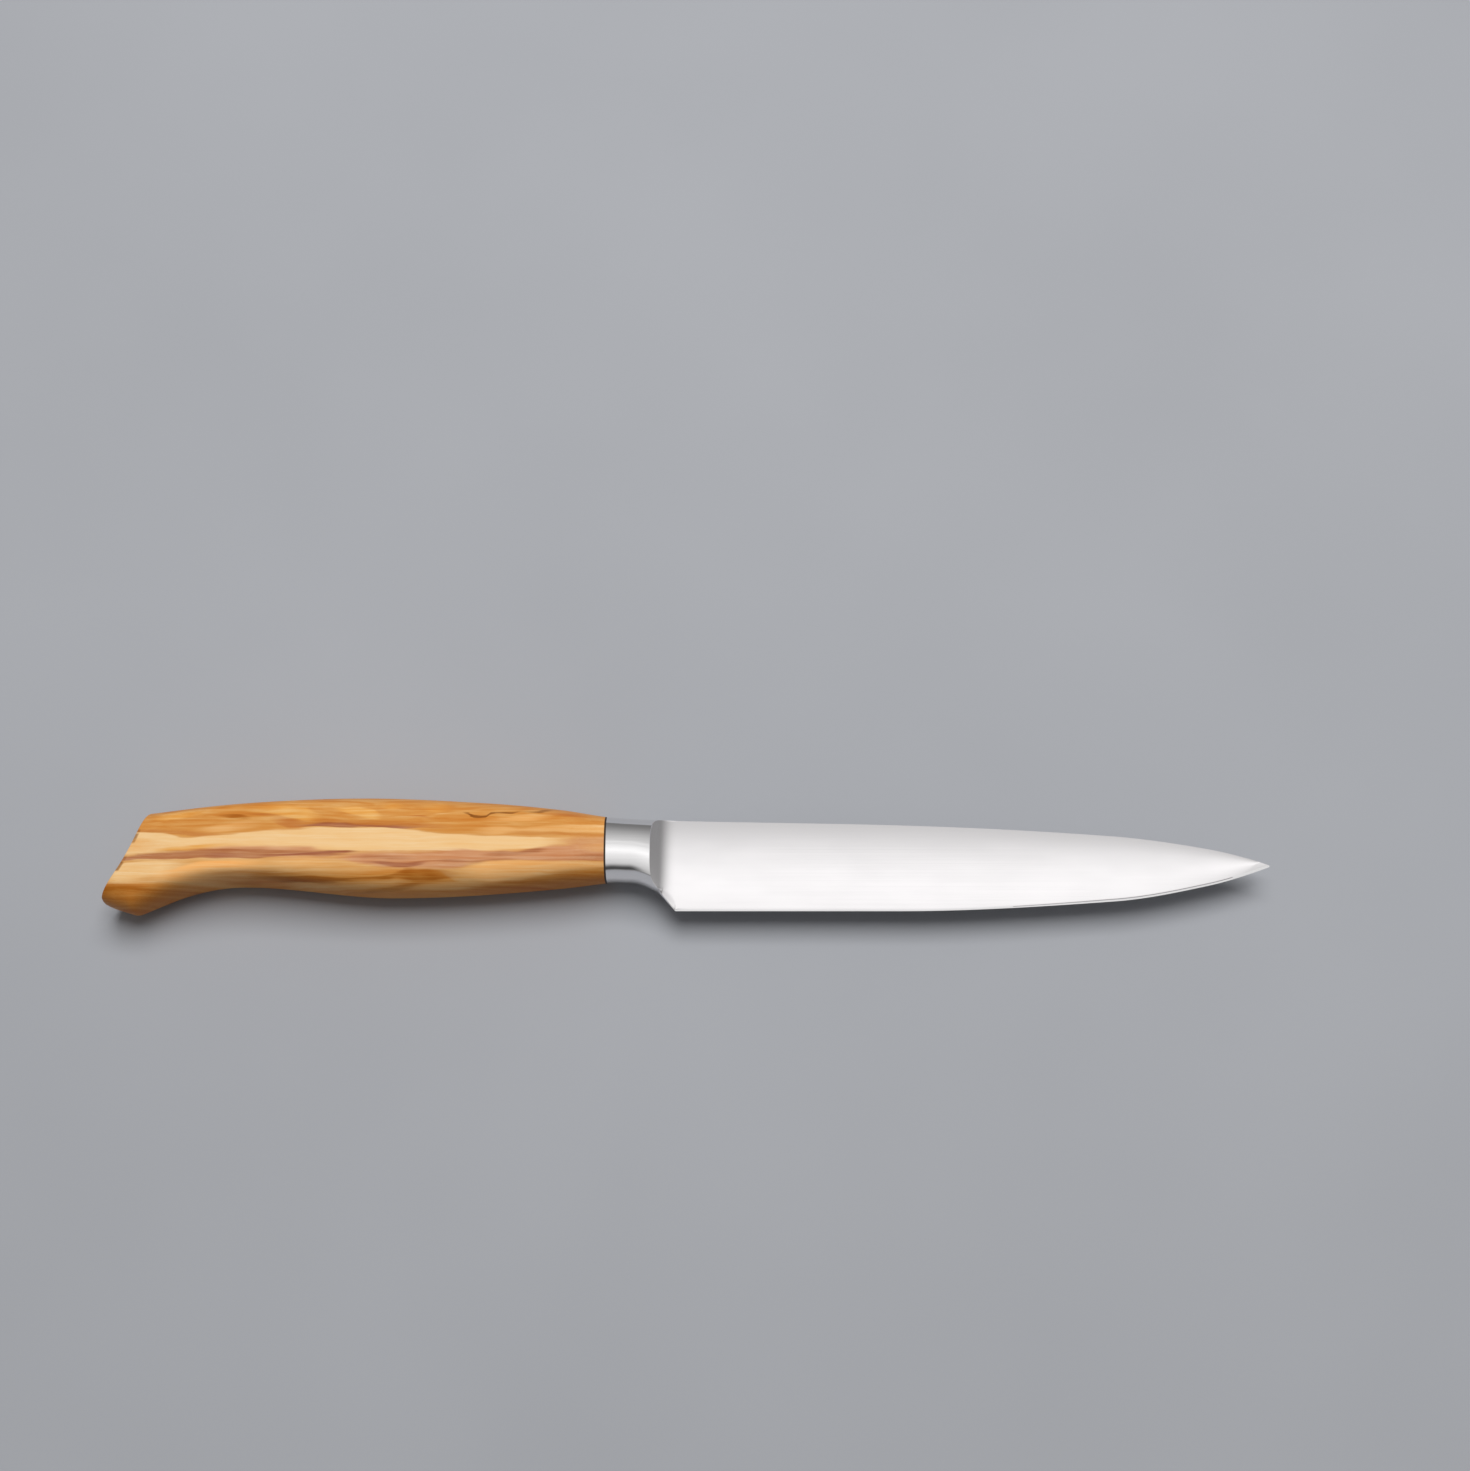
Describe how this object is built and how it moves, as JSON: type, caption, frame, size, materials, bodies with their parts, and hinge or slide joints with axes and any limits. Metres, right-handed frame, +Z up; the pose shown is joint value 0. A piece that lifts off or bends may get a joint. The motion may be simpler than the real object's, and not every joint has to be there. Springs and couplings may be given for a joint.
{
  "type": "vegetable knife",
  "caption": "Vegetable knife with a straight forged blade, a rounded steel bolster and a smooth wooden handle ending in a hook, lying flat on its side.",
  "frame": {"origin": "under the middle of the knife, on the surface that it lies on", "axes": "+X along the knife from handle to tip, +Y from the cutting edge to the spine, +Z up through the thickness"},
  "size_m": [0.2338, 0.0234, 0.0152],
  "materials": {
    "steel": "satin",
    "wood": "satin",
    "liner": "matte",
    "adhesive": "matte"
  },
  "bodies": {
    "root": {"blade": "steel", "liner": "liner", "bedding": "adhesive", "handle": "wood"}
  },
  "joints": []
}
